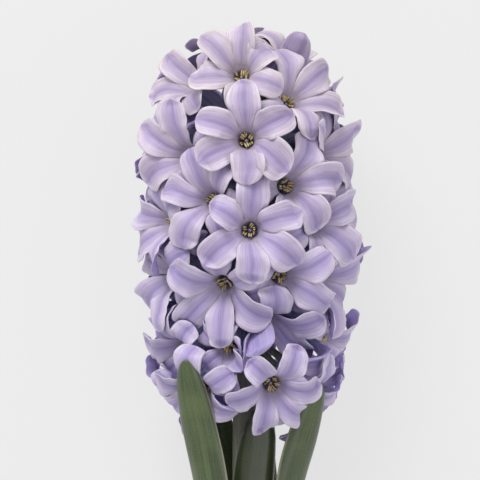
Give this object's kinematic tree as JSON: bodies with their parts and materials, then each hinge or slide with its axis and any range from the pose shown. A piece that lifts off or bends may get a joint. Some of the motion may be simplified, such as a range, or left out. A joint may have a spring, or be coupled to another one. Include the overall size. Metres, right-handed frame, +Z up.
{
  "type": "hyacinth flower",
  "caption": "Cut hyacinth lying on its back: a dense spike of lilac six-petalled florets on a green stem, with strap leaves held by a slice of bulb base.",
  "frame": {"origin": "middle of the plant's footprint on the surface that it lies on", "axes": "+Y up the stem from the cut end to the tip of the head, +Z up from the surface, +X to the right as the open side is looked at from above"},
  "size_m": [0.0756, 0.2438, 0.0735],
  "materials": {
    "petal": "soft satin lilac, paler at the edges, blue-violet along the midrib",
    "leaf": "waxy mid green with fine lengthwise veins and a thin pale margin",
    "stem": "smooth grey-green",
    "bulb": "dry cream flesh with a corky edge"
  },
  "bodies": {
    "root": {"stem": "stem", "bulb_base": "bulb", "leaf_front_left": "leaf", "leaf_front_right": "leaf", "leaf_front": "leaf", "leaf_back_left": "leaf", "leaf_under": "leaf", "floret_01": "petal", "floret_02": "petal", "floret_03": "petal", "floret_04": "petal", "floret_05": "petal", "floret_06": "petal", "floret_07": "petal", "floret_08": "petal", "floret_09": "petal", "floret_10": "petal", "floret_11": "petal", "floret_12": "petal", "floret_13": "petal", "floret_14": "petal", "floret_15": "petal", "floret_16": "petal", "floret_17": "petal", "floret_18": "petal", "floret_19": "petal", "floret_20": "petal", "floret_21": "petal", "floret_22": "petal", "floret_23": "petal", "floret_24": "petal", "floret_25": "petal", "floret_26": "petal", "floret_27": "petal", "floret_28": "petal", "floret_29": "petal", "floret_30": "petal", "floret_31": "petal", "floret_32": "petal", "floret_33": "petal", "floret_34": "petal", "floret_35": "petal", "floret_36": "petal", "floret_37": "petal", "floret_38": "petal", "floret_39": "petal", "floret_40": "petal", "floret_41": "petal", "floret_42": "petal", "floret_43": "petal", "floret_44": "petal", "floret_45": "petal", "floret_46": "petal", "floret_47": "petal", "floret_48": "petal", "floret_49": "petal", "floret_50": "petal", "floret_51": "petal", "floret_52": "petal"}
  },
  "joints": []
}
